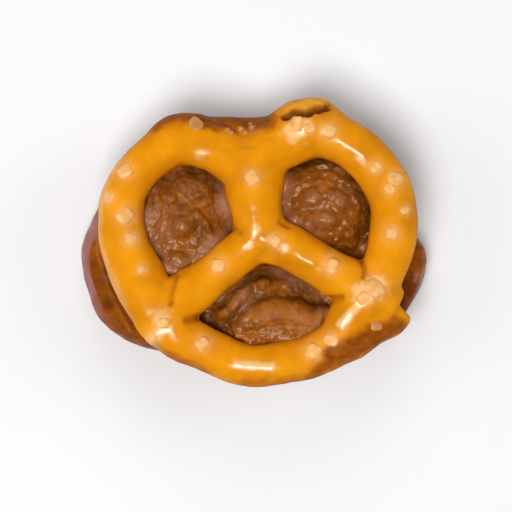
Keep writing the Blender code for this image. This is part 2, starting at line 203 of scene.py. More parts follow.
# %% [markdown]
# All relief after this is made by moving the vertices of a finished skin. The brushes of sculpt mode would do
# it by hand. Here the vertices are rows of a NumPy array, which is as quick, and says where each mark lies.

# %% Reading and moving a skin
def places(piece):
    """Where the vertices of a piece are, in millimetres, as an array of rows."""
    flat = np.empty(len(piece.data.vertices) * 3)
    piece.data.vertices.foreach_get("co", flat)
    return flat.reshape(-1, 3) / MM


def facing(piece):
    """Which way the skin faces at each vertex."""
    flat = np.empty(len(piece.data.vertices) * 3)
    piece.data.vertex_normals.foreach_get("vector", flat)
    return flat.reshape(-1, 3)


def move_to(piece, spots):
    """Puts each vertex of a piece at its place in an array of rows, in millimetres."""
    piece.data.vertices.foreach_set("co", (spots * MM).ravel())
    piece.data.update()


# %% [markdown]
# Hand-shaped dough is uneven at every size: strands swell and shrink, and the skin has shallow dimples.
# Smooth noise along the normals gives both, first in long waves that agree with the CAD solid and then in
# short ones that only a close look shows.

# %% Noise for the skin
def wavy(spots, spacing, seed):
    """Smooth noise between about -1 and 1 at each place."""
    shift = Vector((seed, 2 * seed, 3 * seed))
    return np.array([noise.noise(Vector(spot) / spacing + shift) for spot in spots])


def domed(spots, spacing):
    """Close packed domes: 1 on their tops and falling towards the lines where they meet."""
    return np.array([1 - noise.voronoi(Vector(spot) / spacing)[0][0] for spot in spots])


def swell(piece, amount):
    """Pushes the skin out along its normals by an amount for each vertex, in millimetres."""
    move_to(piece, places(piece) + facing(piece) * amount[:, None])


# %% Uneven dough
DOUGH_PASSES = 40
SWELLS = (0.35, 5.0)  # height and spacing of the long waves
DIMPLES = (0.05, 1.3)  # height and spacing of the short ones
FRAME_LIFT = 0.12  # the frame stands this much higher than the solids were drawn, and so do their waves


def shape_dough(name, strands, back, crown):
    """A whole pretzel from its strands, of which the first is the closed rim."""
    rim, *others = strands
    meshes = [strand(rim, back, crown, closed=True)] + [strand(knots, back, crown) for knots in others]
    piece = gathered(name, meshes)
    bake_together(piece, DOUGH_PASSES)
    for (height, spacing), seed in ((SWELLS, back - FRAME_LIFT), (DIMPLES, 4.0)):
        swell(piece, height * wavy(places(piece), spacing, seed))
    return piece


upper = shape_dough("golden_pretzel", UPPER_STRANDS, UPPER_BACK, 1)
lower = shape_dough("browned_pretzel", LOWER_STRANDS, LOWER_BACK, -1)
print("faces:", len(upper.data.polygons), len(lower.data.polygons))

# %% [markdown]
# The knot leaves marks: creases where the arms dive into the rim and beside the twist. The glaze ran
# before it dried and left faint ridges, which catch the light. Such marks could be sculpted by hand. Here
# each is a path or a point in plan, round which the skin sinks or rises softly, so it can be moved later.

# %% Distances in plan, and soft hills
def from_path(spots, path):
    """Each place's distance in plan from a path of (x, y) points."""
    nearest = np.full(len(spots), 1e9)
    for start, end in zip(path, path[1:]):
        along = np.subtract(end, start)
        offset = spots[:, :2] - start
        share = np.clip(offset @ along / (along @ along), 0, 1)
        nearest = np.minimum(nearest, np.linalg.norm(offset - share[:, None] * along, axis=1))
    return nearest


def from_point(spots, x, y):
    """Each place's distance in plan from one point."""
    return np.hypot(spots[:, 0] - x, spots[:, 1] - y)


def hill(distance, width):
    """1 on the line and falling away softly on both sides."""
    return np.exp(-((distance / width) ** 2))


def ridges(spots, paths, width, wander=0.0):
    """Soft ridges along the paths. A distance that wanders makes them ragged."""
    return np.max([hill(from_path(spots, path) + wander, width) for path in paths], axis=0)


def dots(spots, circles):
    """Soft round hills at (x, y, radius)."""
    return np.max([hill(from_point(spots, x, y), radius) for x, y, radius in circles], axis=0)


# %% Runs of glaze, each a path
DRIP_WIDTH = 0.55
DRIP_HEIGHT = 0.13
DRIPS = [
    [(-0.1, 3.3), (-0.1, 1.6), (-1.0, 0.0)], [(1.0, 0.7), (2.9, -0.6)], [(5.8, -1.9), (7.2, -2.6)],
    [(11.0, 12.5), (13.6, 11.0)], [(-7.4, 10.6), (-6.1, 10.8)], [(-13.2, -12.5), (-10.2, -10.6)],
    [(-1.8, -15.0), (2.2, -15.4)], [(14.4, -5.8), (13.1, -6.6), (10.6, -10.1)], [(4.6, 15.0), (6.9, 13.7)],
]
on_crown = facing(upper)[:, 2] > 0
drips = ridges(places(upper), DRIPS, DRIP_WIDTH) * on_crown
swell(upper, DRIP_HEIGHT * drips)
print(f"{len(DRIPS)} runs of glaze, {DRIP_HEIGHT} mm high")

# %% Creases of the knot, each a path, its depth and its half width in millimetres
CREASES = [
    ([(-2.9, 2.1), (-1.7, 1.3)], 0.2, 0.3),
    ([(3.3, 2.6), (4.4, 2.0)], 0.2, 0.3),
    ([(-9.6, -4.0), (-10.1, -6.0), (-10.2, -7.4)], 0.22, 0.35),
    ([(-10.1, -7.2), (-10.3, -7.6)], 0.35, 0.25),
    ([(13.3, -1.9), (13.8, -3.2), (13.6, -4.2)], 0.3, 0.3),
    ([(-6.9, -9.3), (-8.2, -9.6)], 0.3, 0.4),
    ([(9.4, -7.0), (10.8, -6.8)], 0.3, 0.4),
]
crease_depth = np.zeros(len(upper.data.vertices))
for path, depth, width in CREASES:
    crease_depth = np.maximum(crease_depth, depth * hill(from_path(places(upper), path), width) * on_crown)
swell(upper, -crease_depth)
print(f"{len(CREASES)} creases, up to {crease_depth.max():.2f} mm deep")

# %% [markdown]
# While baking, steam burst the skin on the outside of the right loop. The split is a ragged slot with
# steep sides, and a thin torn lip stands up behind it. In the dip beside it a few small blisters rose.
# Cutting the slot out with a boolean would leave edges too clean for torn dough, so the skin is pushed in.

# %% The burst skin
SPLIT = [(3.9, 15.6), (4.8, 16.05), (6.4, 16.1), (8.2, 16.5), (9.2, 16.9)]
SLOT_WIDTH = 0.42
SLOT_DEPTH = 0.8
LIP = [(4.6, 17.0), (6.6, 17.3), (8.8, 17.7)]
LIP_WIDTH = 0.9
LIP_HEIGHT = 0.25
spots = places(upper)
ragged = 0.3 * wavy(spots, 0.8, 9.0)
slot = np.exp(-((from_path(spots, SPLIT) + ragged) / SLOT_WIDTH) ** 4) * on_crown  # the power makes it steep
lip = hill(from_path(spots, LIP), LIP_WIDTH) * on_crown
streaks = wavy(spots * (0.25, 1.2, 1.0), 0.5, 14.0)  # long in x, as the skin tore
print(f"the slot covers {100 * np.mean(slot > 0.5):.2f}% of the skin")

# %% Blisters in the dip, as (x, y, radius)
BLISTERS = [
    (-3.2, 14.0, 0.24), (-2.7, 13.7, 0.18), (-1.6, 14.2, 0.28), (-1.0, 13.7, 0.2), (-0.2, 14.3, 0.3),
    (-0.4, 14.8, 0.18),
]
BLISTER_HEIGHT = 0.25
blisters = dots(spots, BLISTERS) * on_crown
swell(upper, (LIP_HEIGHT + 0.08 * streaks) * lip - SLOT_DEPTH * slot + BLISTER_HEIGHT * blisters)
print(f"{len(BLISTERS)} blisters")

# %% [markdown]
# The flat backs were made by the baking tray. The relief has rounded them a little, so the skin is pressed
# flat there once all of it is in. In the same way nothing of the lower pretzel may sink into the table.

# %% Flat backs and the table
def press_flat(piece, back, crown):
    """Moves what reaches past the flat back onto it."""
    spots = places(piece)
    spots[:, 2] = np.maximum(spots[:, 2], back) if crown > 0 else np.minimum(spots[:, 2], back)
    move_to(piece, spots)


press_flat(upper, UPPER_BACK, 1)
press_flat(lower, LOWER_BACK, -1)
press_flat(lower, 0, 1)  # the table
print(f"the lower crown stands {places(lower)[:, 2].min():.2f} mm above the table")

# %% [markdown]
# The filling is a stiff chocolate cream. Pressed between the backs it spreads to an uneven edge, and in
# the holes it wells up in lumps and folds. A soft sheet, some flattened balls and a few tubes are
# gathered and remeshed into one mass, which reaches a little way into the dough so that no gap shows.

# %% The filling's sheet, mounds and folds
FILLING_OUTLINE = [
    (-1.24, 15.18), (-5.84, 15.28), (-10.84, 14.78), (-14.64, 11.38), (-17.2, 5.58), (-18.2, -0.42),
    (-17, -6.02), (-14.2, -10.42), (-9.6, -13.2), (-3.64, -15.42), (3.36, -15.82), (10.36, -14.02),
    (15.96, -10.42), (17.86, -6.12), (19.4, -1.82), (18.56, 3.38), (16.96, 8.58), (12.36, 12.78),
    (6.56, 14.78), (2.36, 15.08),
]
# Mounds, as (x, y, top above the table, radii along and across, turn in degrees)
UPPER_MOUNDS = [
    (-8.4, 3, 10.9, 6.6, 7.6, -8), (-8.7, 1.9, 12, 2.4, 2.4, 0), (-10.2, 6.2, 11.2, 2, 1.8, 20),
    (-6.2, 5.1, 11.1, 2, 2.4, 0), (-9.4, -1.8, 11, 2.2, 1.6, 0), (-5.8, 2.2, 11.3, 0.8, 2.4, 20),
    (9, 4.8, 10.8, 6.8, 6.8, 0), (7.5, 5.7, 11.4, 2.4, 2.1, 20), (10.8, 5.3, 11.4, 1.8, 2.5, 25),
    (8.9, 3, 11.6, 2.6, 2.3, -15), (11.8, 1.2, 11.1, 1.7, 2.1, 20), (5.4, 3.2, 11, 1.3, 2, 20),
    (1.2, -8.4, 10.4, 8.4, 6.4, 0), (-1.7, -6.9, 11.2, 1.7, 3.6, -35), (1.2, -5.2, 10.9, 1.8, 1.4, 0),
    (5.4, 7.4, 10.3, 3.6, 3.4, 0), (-10.3, -3, 10.6, 1.8, 1.6, 0), (7.9, -9.4, 10.6, 2.4, 2.2, 0),
]
LOWER_MOUNDS = [
    (-8.84, 4.38, 3.02, 6.4, 6.8, 0), (-10.44, 5.78, 2.42, 2.2, 2, 0), (-7.44, 3.18, 2.32, 2.4, 2, 25),
    (8.36, 4.38, 3.02, 6.2, 6.6, 0), (9.56, 6.18, 2.42, 2.4, 1.8, 0), (7.16, 2.78, 2.32, 2, 2.2, 0),
    (-0.24, -8.22, 3.22, 8, 4.8, 0), (-3.44, -8.62, 2.62, 2.6, 1.8, 10), (2.96, -7.82, 2.52, 2.8, 2, -10),
]
# Folds, as (x, y, top above the table, radius) along each
FOLDS = [
    [(-2.4, -11, 10.7, 1.5), (0, -9.4, 11.5, 1.9), (2.6, -8.6, 11.9, 2), (5.2, -8.9, 11.7, 2),
     (8.2, -9.6, 11.2, 1.8)],
    [(-1.2, -11.8, 10.6, 1.6), (2.2, -11, 11.1, 2), (5.4, -11, 11, 1.9), (8.6, -10.6, 10.7, 1.6)],
]
print(f"{len(UPPER_MOUNDS)} mounds above, {len(LOWER_MOUNDS)} below and {len(FOLDS)} folds")

# %% [markdown]
# A mound is a ball squashed to an oval whose crest stands at the height in the list. The sheet is a filled
# curve, extruded to the depth between the backs, with a rounded edge such as a soft cream gets when pressed.

# %% Shapes of cream
MIDDLE = (LOWER_BACK + UPPER_BACK) / 2
SHEET_DEPTH = UPPER_BACK - LOWER_BACK + 0.2
ROUNDING = 0.9  # how far the sheet's edge is rounded


def mound(x, y, top, along, across, turn):
    """A rounded heap whose crest is at a given height, from a ball squashed and turned."""
    ball = bmesh.new()
    bmesh.ops.create_icosphere(ball, subdivisions=5, radius=MM)
    bmesh.ops.scale(ball, verts=ball.verts, vec=Vector((along, across, abs(top - MIDDLE))))
    bmesh.ops.rotate(ball, verts=ball.verts, matrix=Matrix.Rotation(math.radians(turn), 3, "Z"))
    bmesh.ops.translate(ball, verts=ball.verts, vec=Vector((x, y, MIDDLE)) * MM)
    mesh = bpy.data.meshes.new("mound")
    ball.to_mesh(mesh)
    ball.free()
    return mesh


def sheet():
    """The layer between the backs: its outline as a filled curve, extruded and rounded at the edge."""
    curve = bpy.data.curves.new("sheet", "CURVE")
    curve.dimensions = "2D"
    curve.fill_mode = "BOTH"
    curve.extrude = (SHEET_DEPTH / 2 - ROUNDING) * MM
    curve.bevel_depth = ROUNDING * MM
    curve.bevel_resolution = 4
    spline = curve.splines.new("BEZIER")
    spline.bezier_points.add(len(FILLING_OUTLINE) - 1)
    spline.use_cyclic_u = True
    for knot, place in zip(spline.bezier_points, FILLING_OUTLINE):
        inset = Vector(place) * (1 - ROUNDING / Vector(place).length)
        knot.co = (inset.x * MM, inset.y * MM, 0)
        knot.handle_left_type = knot.handle_right_type = "AUTO"
    guide = bpy.data.objects.new("sheet", curve)
    bpy.context.scene.collection.objects.link(guide)
    mesh = bpy.data.meshes.new_from_object(guide.evaluated_get(bpy.context.evaluated_depsgraph_get()))
    mesh.transform(Matrix.Translation((0, 0, MIDDLE * MM)))
    bpy.data.objects.remove(guide)
    return mesh


# %% [markdown]
# All the shapes are remeshed into one body, smoothed so that they flow into each other, and made uneven.
# The broad fold in the lowest hole was drawn smooth by the dough, so the unevenness is held back there.

# %% The mass of filling
CREAM_PASSES = 10
LUMPS = (0.42, 2.2)  # height and spacing
masses = [sheet()] + [mound(*heap) for heap in UPPER_MOUNDS + LOWER_MOUNDS]
masses += [tube([(x, y, top - radius, radius) for x, y, top, radius in fold]) for fold in FOLDS]
filling = gathered("chocolate_cream", masses)
bake_together(filling, CREAM_PASSES)
TONGUE = [(1.6, -8.5), (4.0, -8.6), (8.4, -10.0)]  # the smooth fold in the lowest hole
calm = hill(from_path(places(filling), TONGUE), 1.6)
height, spacing = LUMPS
swell(filling, height * (1 - 0.75 * calm) * wavy(places(filling), spacing, 7.0))
print("filling:", len(filling.data.polygons), "faces")

# %% [markdown]
# Where the cream was squeezed against the dough it climbs the wall, in some places as a smooth collar,
# which is given a painted sheen later. How far each vertex is from the dough decides how much it rises, and
# paths in plan say where.

# %% Collars of cream along the dough
WALL_RISE = 0.25  # all along the dough
COLLAR_RISE = 0.4  # and more where there is a collar
COLLAR_REACH = 0.8  # how far from the dough it rises
FILM_REACH = 1.3  # how far from the dough it is smooth and gets a painted sheen
OUT_OF_REACH = 9.0
COLLARS = [
    [(-4.0, 6.5), (-3.5, 2.6), (-4.4, 0.5), (-6.5, -1.3), (-8.8, -3.3)],
    [(-13.2, 3.4), (-13.2, 1.5), (-12.2, -1.1), (-10.9, -2.7), (-9.5, -3.3)],
    [(3.9, 7.0), (3.7, 5.6), (4.1, 3.4), (5.2, 2.2), (6.8, 1.3)],
    [(3.4, -3.6), (5.0, -4.8), (6.6, -5.6), (7.9, -6.5), (9.1, -8.2)],
]
spots = places(filling)
on_top = (facing(filling)[:, 2] > 0.1) * (spots[:, 2] > MIDDLE)
from_dough = np.array([
    (upper.closest_point_on_mesh(Vector(spot) * MM)[1] / MM - Vector(spot)).length
    if high else OUT_OF_REACH
    for spot, high in zip(spots, on_top)
])
along = ridges(spots, COLLARS, 1.3)
collar = hill(from_dough, COLLAR_REACH) * along * on_top
collar_film_and_sheen = hill(from_dough, FILM_REACH) * along * on_top
swell(filling, WALL_RISE * hill(from_dough, COLLAR_REACH) + COLLAR_RISE * collar)
print(f"{len(COLLARS)} collars, over {100 * np.mean(collar > 0.5):.0f}% of the skin")

# %% [markdown]
# Elsewhere the cream is grainy from sugar and cocoa, except on the smooth fold in the lowest hole, in the
# hollow beside it and on the pressed collars. The grain mixes smooth noise with close packed domes, as noise
# alone looks like worms. In the right hole the cream was also dragged into fine ripples.

# %% Ripples and grain in the filling
RIPPLES = [
    [(4.6, 6.8), (6.8, 8.6), (9.6, 8.9), (12.0, 7.4), (13.2, 4.6)], [(5.9, 7.2), (7.9, 7.8), (10.2, 7.5)],
    [(7.4, 9.6), (9.8, 10.0), (12.6, 8.6)], [(-7.0, 4.2), (-6.4, 2.4), (-7.2, 0.4)],
    [(5.0, 5.6), (5.2, 3.6), (6.6, 2.4)],
]
RIPPLE_WIDTH = 0.3
RIPPLE_HEIGHT = 0.16
spots = places(filling)
ripple = ridges(spots, RIPPLES, RIPPLE_WIDTH, 0.15 * wavy(spots, 1.0, 3.0)) * on_top
print(f"{len(RIPPLES)} ripples, {RIPPLE_HEIGHT} mm high")

# %% Grain, and where it is held back
HOLLOW_SIDE = [(-4.6, -9.4), (-3.5, -7.7), (-1.9, -6.6)]  # the calm hollow left of the fold
on_tongue = hill(from_path(spots, TONGUE), 2.0)
in_hollow = hill(from_path(spots, HOLLOW_SIDE), 1.5)
smoothness = np.clip(on_tongue + collar_film_and_sheen + 0.6 * in_hollow, 0, 1)
grain = 0.12 * wavy(spots, 0.9, 2.0) + 0.24 * (domed(spots, 0.7) - 0.5) + 0.1 * wavy(spots, 0.5, 5.0)
swell(filling, RIPPLE_HEIGHT * ripple + (1 - 0.9 * smoothness) * grain)
print(f"grain up to {np.abs(grain).max():.2f} mm")

# %% [markdown]
# Coarse salt was pressed onto the dough before baking. Each crystal is a cube whose corners are moved a
# little, with broadly rounded edges, because baking in the glaze took its sharp edges off. It tilts with the
# crust below it, and the crust holds most of it. The crystals are small and many, so all the crystals of one
# pretzel are one piece.

# %% One crystal
CORNER_JITTER = 0.12  # all of these as shares of the crystal's size
EDGE_ROUNDING = 0.36
CRYSTAL_HEIGHT = 0.6
CRYSTAL_DEPTH = 0.15  # how far its middle lies below the skin


def crystal(place, normal, size, draw):
    """A worn block of salt of this size in millimetres, lying on the crust at a place."""
    body = bmesh.new()
    bmesh.ops.create_cube(body, size=1.0)
    for corner in body.verts:
        corner.co += Vector([draw.uniform(-CORNER_JITTER, CORNER_JITTER) for _ in range(3)])
    edges = list(body.edges)
    bmesh.ops.bevel(
        body, geom=edges, offset=EDGE_ROUNDING, segments=6, profile=0.5, affect="EDGES", material=-1)
    length, width = size * draw.uniform(1.05, 1.25), size * draw.uniform(0.9, 1.1)
    bmesh.ops.scale(body, verts=body.verts, vec=Vector((length, width, size * CRYSTAL_HEIGHT)) * MM)
    spin = Matrix.Rotation(draw.uniform(0, math.pi), 4, "Z")
    tilt = normal.to_track_quat("Z", "Y").to_matrix().to_4x4()
    body.transform(Matrix.Translation(place - normal * CRYSTAL_DEPTH * size * MM) @ tilt @ spin)
    mesh = bpy.data.meshes.new("crystal")
    body.to_mesh(mesh)
    body.free()
    return mesh


# %% [markdown]
# On the upper crown each crystal lies where it lies in the photo. A ray cast straight down finds the crust
# there and the way it faces.

# %% Salt on the upper crown, as (x, y, size as a share of SALT_SIZE)
SALT_SIZE = 1.7
START_HEIGHT = 40  # where the rays start, well above the pretzel
UPPER_SALT = [
    (-7.1, 14.6, 1), (-16, 8.8, 1), (-18, 5.5, 0.85), (-15.7, 3.3, 1.1), (-15.1, 0.5, 0.95),
    (-0.1, 8, 0.9), (-4.3, -2.8, 0.9), (-6.3, -12.4, 1), (-11.2, -9.9, 0.8), (-12.6, -11.6, 0.7),
    (9.2, 13.8, 1), (5.4, 14.6, 0.9), (6.9, 14.1, 0.7), (15.1, 9.3, 0.8), (17.6, 7.9, 1),
    (16.8, 6.6, 0.8), (18.8, 4.1, 0.7), (17.1, 1.2, 0.95), (2.7, 0.2, 0.85), (9.6, -2.8, 1.05),
    (14.9, -5.4, 1.25), (13.5, -6.8, 0.9), (9.6, -12, 0.95), (7.4, -13.5, 1.05), (15.2, -10.2, 0.8),
    (-13.8, -3.2, 0.6),
]


def sprinkle(name, dough, spots, crown, seed):
    """Sets a crystal on the crust at each (x, y, share of SALT_SIZE)."""
    draw = random.Random(seed)
    crystals = []
    for x, y, share in spots:
        start = Vector((x * MM, y * MM, crown * START_HEIGHT * MM))
        hit, place, normal, _ = dough.ray_cast(start, Vector((0, 0, -crown)))
        if hit:
            crystals.append(crystal(place, normal, SALT_SIZE * share, draw))
    print(name, "has", len(crystals), "crystals")
    return gathered(name, crystals)


upper_salt = sprinkle("salt_above", upper, UPPER_SALT, 1, 3)

# %% [markdown]
# The salt of the lower pretzel is hidden in the photo, so its crystals are spread evenly by rule. They lie
# beside the crests, as a crystal under a crest would lift the pretzel off the table.

# %% Salt on the lower pretzel
LOWER_SALT_COUNT = 22


def lower_salt_spots():
    """Crystals along the lower rim and arms, beside the crest that it rests on."""
    draw = random.Random(11)
    knots = LOWER_RIM + LOWER_LEFT_ARM[1:] + LOWER_RIGHT_ARM[1:]
    spots = []
    for count in range(LOWER_SALT_COUNT):
        x, y, radius, _ = knots[count * len(knots) // LOWER_SALT_COUNT]
        side = draw.choice((-1, 1)) * draw.uniform(0.45, 0.6) * radius
        outward = Vector((x, y)).normalized() * side
        spots.append((x + outward.x, y + outward.y, draw.uniform(0.7, 1.0)))
    return spots


lower_salt = sprinkle("salt_below", lower, lower_salt_spots(), -1, 5)
press_flat(lower_salt, 0, 1)  # the table

# %% [markdown]
# A pattern that follows this pretzel's own shape, such as where it is browned, could be a painted picture.
# Here it is an attribute instead: a number written on the mesh at each vertex, which a material can read. The
# first says how far each crystal took on the brown of the crust that it lies on.

# %% Numbers written on the mesh
def note(piece, name, values):
    """Writes a number for each vertex onto the mesh, for a material to read."""
    attribute = piece.data.attributes.new(name, "FLOAT", "POINT")
    attribute.data.foreach_set("value", values.astype(np.float32))


def ramp(values, low, high):
    """0 up to low, 1 from high on, and a soft slope between them."""
    share = np.clip((values - low) / (high - low), 0, 1)
    return share * share * (3 - 2 * share)


TOASTED = [(-7.1, 14.6), (15.2, -10.2)]  # crystals in the browned patches
note(upper_salt, "toasted", dots(places(upper_salt), [(x, y, 1.2) for x, y in TOASTED]))
note(lower_salt, "toasted", np.full(len(lower_salt.data.vertices), 0.3))
print(f"{len(TOASTED)} crystals are toasted")

# %% [markdown]
# Baking browns the dough from golden on the crown to reddish brown at the edges and wherever it stood
# closest to the heat. The edges follow from the way the skin faces and its height, and are partly baked colour
# and partly painted shade; the dark of the burst slot is painted shade. The patches come from paths in plan
# whose edges are made ragged by noise.

# %% How brown the crust is, with painted shade on its sides and in the slot
BROWNED = [  # patches on the upper pretzel, each a path, its half width and how brown
    ([(18.1, -10.4), (15.4, -11.1)], 1.2, 0.75),
    ([(15.4, -11.3), (13.3, -12.5), (10.1, -14.0)], 1.6, 0.8),
    ([(10.1, -14.2), (8.3, -15.7), (7.1, -16.9)], 1.0, 0.7),
    ([(-12.8, 15.4), (-9.2, 16.4), (-6.6, 15.9)], 1.5, 0.7),
    ([(-6.6, 15.4), (-3.0, 15.2), (1.4, 15.3)], 1.4, 0.85),
    ([(3.9, 15.6), (8.2, 16.5)], 0.9, 0.25),
    ([(-1.0, -17.6), (6.0, -17.4)], 0.9, 0.35),
    ([(-13.2, -13.4), (-9.8, -14.7), (-6.1, -16.4)], 0.9, 0.5),
]
INSIDE, OUTSIDE = 0.9, 0.7  # how far the edge of a patch fades on either side of its half width
spots, normals = places(upper), facing(upper)
# The sides and the low parts are darkened: partly baked colour, partly painted shade.
side = ramp(-normals[:, 2], -0.5, 0.15)
low_down_shade = ramp(UPPER_BACK + 2.6 - spots[:, 2], 0.0, 2.6)
ragged = 0.5 * wavy(spots, 1.1, 3.0)
patches = np.zeros(len(spots))
for path, width, share in BROWNED:
    outside = ramp(from_path(spots, path) + ragged, width - INSIDE, width + OUTSIDE)
    patches = np.maximum(patches, share * (1 - outside))
patches = patches * (1 + 0.2 * wavy(spots, 0.8, 5.0) + 0.25 * wavy(spots * (0.5, 1.5, 1.0), 0.8, 6.0))
# The slot gets painted shade in its recess.
browning_and_shade = np.clip(0.45 * side + 0.35 * low_down_shade + patches + 0.1 * wavy(spots, 2.5, 3.0) + 1.3 * slot, 0, 1)
note(upper, "browning_and_shade", browning_and_shade)
# The creases are painted darker: painted shade where the knot folds.
note(upper, "crease_shade", np.clip(crease_depth / 0.5, 0, 1))
note(upper, "burst", lip * (1 - slot) * np.clip(0.6 + 1.2 * streaks, 0, 1))
print(f"{100 * np.mean(browning_and_shade > 0.4):.0f}% of the upper crust is amber or darker")

# %% [markdown]
# The glaze pooled on a few crowns and dried to a bright shine, while the rest of the crust is satin. Its
# runs and the blisters shine too. Noise breaks the shine up, as a pool of glaze is never even.

# %% Where the crust shines
GLAZED = [  # as (x, y, radius)
    (0.2, 3.2, 0.9), (0.2, 1.4, 1.0), (-0.9, -0.3, 1.0), (1.6, 0.3, 1.0), (3.2, -0.6, 0.9), (6.5, -2.3, 1.2),
    (11.2, 12.3, 1.2), (13.4, 11.0, 1.2), (6.0, 14.0, 0.8),
    (-12.8, -12.3, 1.3), (-10.8, -10.9, 1.3), (-11.4, -9.0, 1.4), (-1.6, -15.0, 1.0), (1.8, -15.3, 1.0),
    (14.7, -6.0, 1.8), (12.6, -7.4, 1.2), (11.4, -9.0, 1.0),
]
glaze = 0.8 * dots(spots, GLAZED)
note(upper, "glaze", np.clip((glaze + drips + blisters) * (1 + 0.5 * wavy(spots, 0.9, 8.0)), 0, 1))
print(f"{len(GLAZED)} pools of glaze")

# %% [markdown]
# Round each crystal the salt melted into the glaze and left a pale bloom, which also lightens the contact
# shade at the crystal's edge as painted light. The broad ragged patches and streaks are painted highlights
# where the glaze shines, and the pale outer left edge is a painted reflection at grazing angles.

# %% Where the crust is pale, and its painted highlights
HALO_SIZE = 0.68  # radius of the bloom round a crystal, as a share of its size
# Painted highlights: pale patches where the glaze shines.
HIGHLIGHT_PATCHES = [  # as (x, y, radius, how pale)
    (5.0, 13.8, 1.5, 0.9), (6.4, 14.3, 1.3, 0.8), (-11.4, -9.2, 1.3, 0.7), (0.3, 1.6, 0.7, 0.9),
    (2.3, 0.3, 0.9, 0.8), (3.6, -0.6, 0.8, 0.6), (15.1, -5.5, 1.7, 1.0), (13.7, -6.3, 1.7, 1.0),
    (-6.7, 10.8, 0.7, 0.5),
]
# Painted highlights along the shining runs of glaze.
HIGHLIGHT_STREAKS = [
    [(14.0, -6.6), (12.8, -7.8), (10.6, -10.1)],
    [(-13.1, -12.4), (-10.4, -10.6)],
    [(-2.0, -15.0), (2.2, -15.3)],
]
speckle = wavy(spots, 0.7, 9.0)
# The halo round each crystal: melted salt, and painted light over its contact shade.
melt_halos_and_light = [(x, y, SALT_SIZE * size * HALO_SIZE) for x, y, size in UPPER_SALT if (x, y) not in TOASTED]
bloom_and_sheen = np.maximum(0, 0.6 * dots(spots, melt_halos_and_light) * (0.85 + 0.5 * speckle))
for x, y, radius, pale in HIGHLIGHT_PATCHES:
    blot = hill(from_point(spots, x, y), radius)
    bloom_and_sheen = np.maximum(bloom_and_sheen, pale * ramp(blot + 0.3 * speckle, 0.15, 0.85))
for path in HIGHLIGHT_STREAKS:
    bloom_and_sheen = np.maximum(bloom_and_sheen, 0.95 * ramp(hill(from_path(spots, path), 0.6) + 0.3 * speckle, 0.2, 0.9))
bloom_and_sheen *= 1 - 0.8 * browning_and_shade
print(f"{100 * np.mean(bloom_and_sheen > 0.3):.0f}% of the upper crust is pale")


# %% The painted reflection on the outer left edge
def outwards(spots, normals):
    """How far the skin faces away from the middle of the pretzel, up to 1."""
    outward = spots[:, :2] / np.linalg.norm(spots[:, :2], axis=1)[:, None]
    return (normals[:, :2] * outward).sum(axis=1)


# A painted reflection on the outer left edge, where the skin faces outward.
left_edge_sheen = ramp(outwards(spots, normals), 0.6, 1.0) * ramp(-spots[:, 0], 15.0, 17.0)
left_edge_sheen *= ramp(spots[:, 2], UPPER_BACK + 1.2, UPPER_BACK + 3.0) * (0.8 + 0.5 * wavy(spots, 1.2, 7.0))
# The blisters get painted glints too.
note(upper, "bloom_and_sheen", np.clip((bloom_and_sheen + 0.6 * blisters) * (normals[:, 2] > 0) + 0.8 * left_edge_sheen, 0, 1))
print(f"{100 * np.mean(left_edge_sheen > 0.3):.1f}% of it is the pale left edge")

# %% [markdown]
# The lower pretzel's crust is darker than the upper one's: partly a browner bake and partly painted shade,
# as it lies in the shade of the upper one. Where it peeps out at the left its back shows a thin fold and a
# groove beside it, both too small for the CAD solid, so they are raised and sunk here.

# %% The fold and the groove in the lower pretzel's back
BACK_EDGE = [(-20.0, 2.4), (-19.9, -1.4), (-18.8, -4.9), (-17.4, -8.0), (-15.7, -11.2)]
BACK_GROOVE = [(-18.4, -3.4), (-17.2, -7.0), (-14.9, -10.4)]
FOLD_HEIGHT, FOLD_WIDTH = 0.1, 0.2
GROOVE_DEPTH, GROOVE_WIDTH = 0.35, 0.6
spots = places(lower)
on_back = ramp(spots[:, 2], 4.6, 5.2)
fold = ridges(spots, [BACK_EDGE], FOLD_WIDTH, 0.1 * wavy(spots, 1.0, 4.0)) * on_back
groove = ridges(spots, [BACK_GROOVE], GROOVE_WIDTH, 0.15 * wavy(spots, 0.8, 2.0)) * on_back
spots[:, 2] += FOLD_HEIGHT * fold - GROOVE_DEPTH * groove
move_to(lower, spots)
print(f"a fold {FOLD_HEIGHT} mm high and a groove {GROOVE_DEPTH} mm deep")

# %% [markdown]
# Its crust is a mottled brown. A greyish painted sheen lies on its outer left side, a painted reflection at
# grazing angles, and a few pale flecks on it are partly crumbs of salt and partly painted highlights. Its fold
# is painted lighter, a painted highlight on its edge, and its groove darker, a painted shade. It carries the
# same attributes as the upper crust, so that one recipe makes both materials.

# %% How brown the lower pretzel is, and its painted sheen, highlights and shade
SALT_AND_HIGHLIGHT_FLECKS = [(-19.5, 0.6), (-18.6, -4.3), (-18.2, -4.7), (-15.4, -9.6), (20.8, -4.8), (20.9, -4.1)]  # crumbs of salt and painted highlights
FLECK_RADIUS = 0.35
# A painted reflection on the outer left side, at grazing angles.
grazing_sheen = ramp(outwards(spots, facing(lower)), 0.2, 0.65) * ramp(-spots[:, 0], 12.0, 16.0)
grazing_sheen *= ramp(spots[:, 1], -12.0, -4.0) * ramp(spots[:, 2], 2.4, 4.2) * (0.9 + 0.4 * wavy(spots, 1.5, 7.0))
mottling = 0.6 + 0.4 * wavy(spots, 1.4, 6.0) + 0.25 * wavy(spots, 0.4, 6.0)
salt_and_highlight_flecks = dots(spots, [(x, y, FLECK_RADIUS) for x, y in SALT_AND_HIGHLIGHT_FLECKS])
# The fold is painted lighter: a painted highlight on its edge.
note(lower, "browning_and_shade", np.clip(mottling - 0.5 * fold, 0, 1))
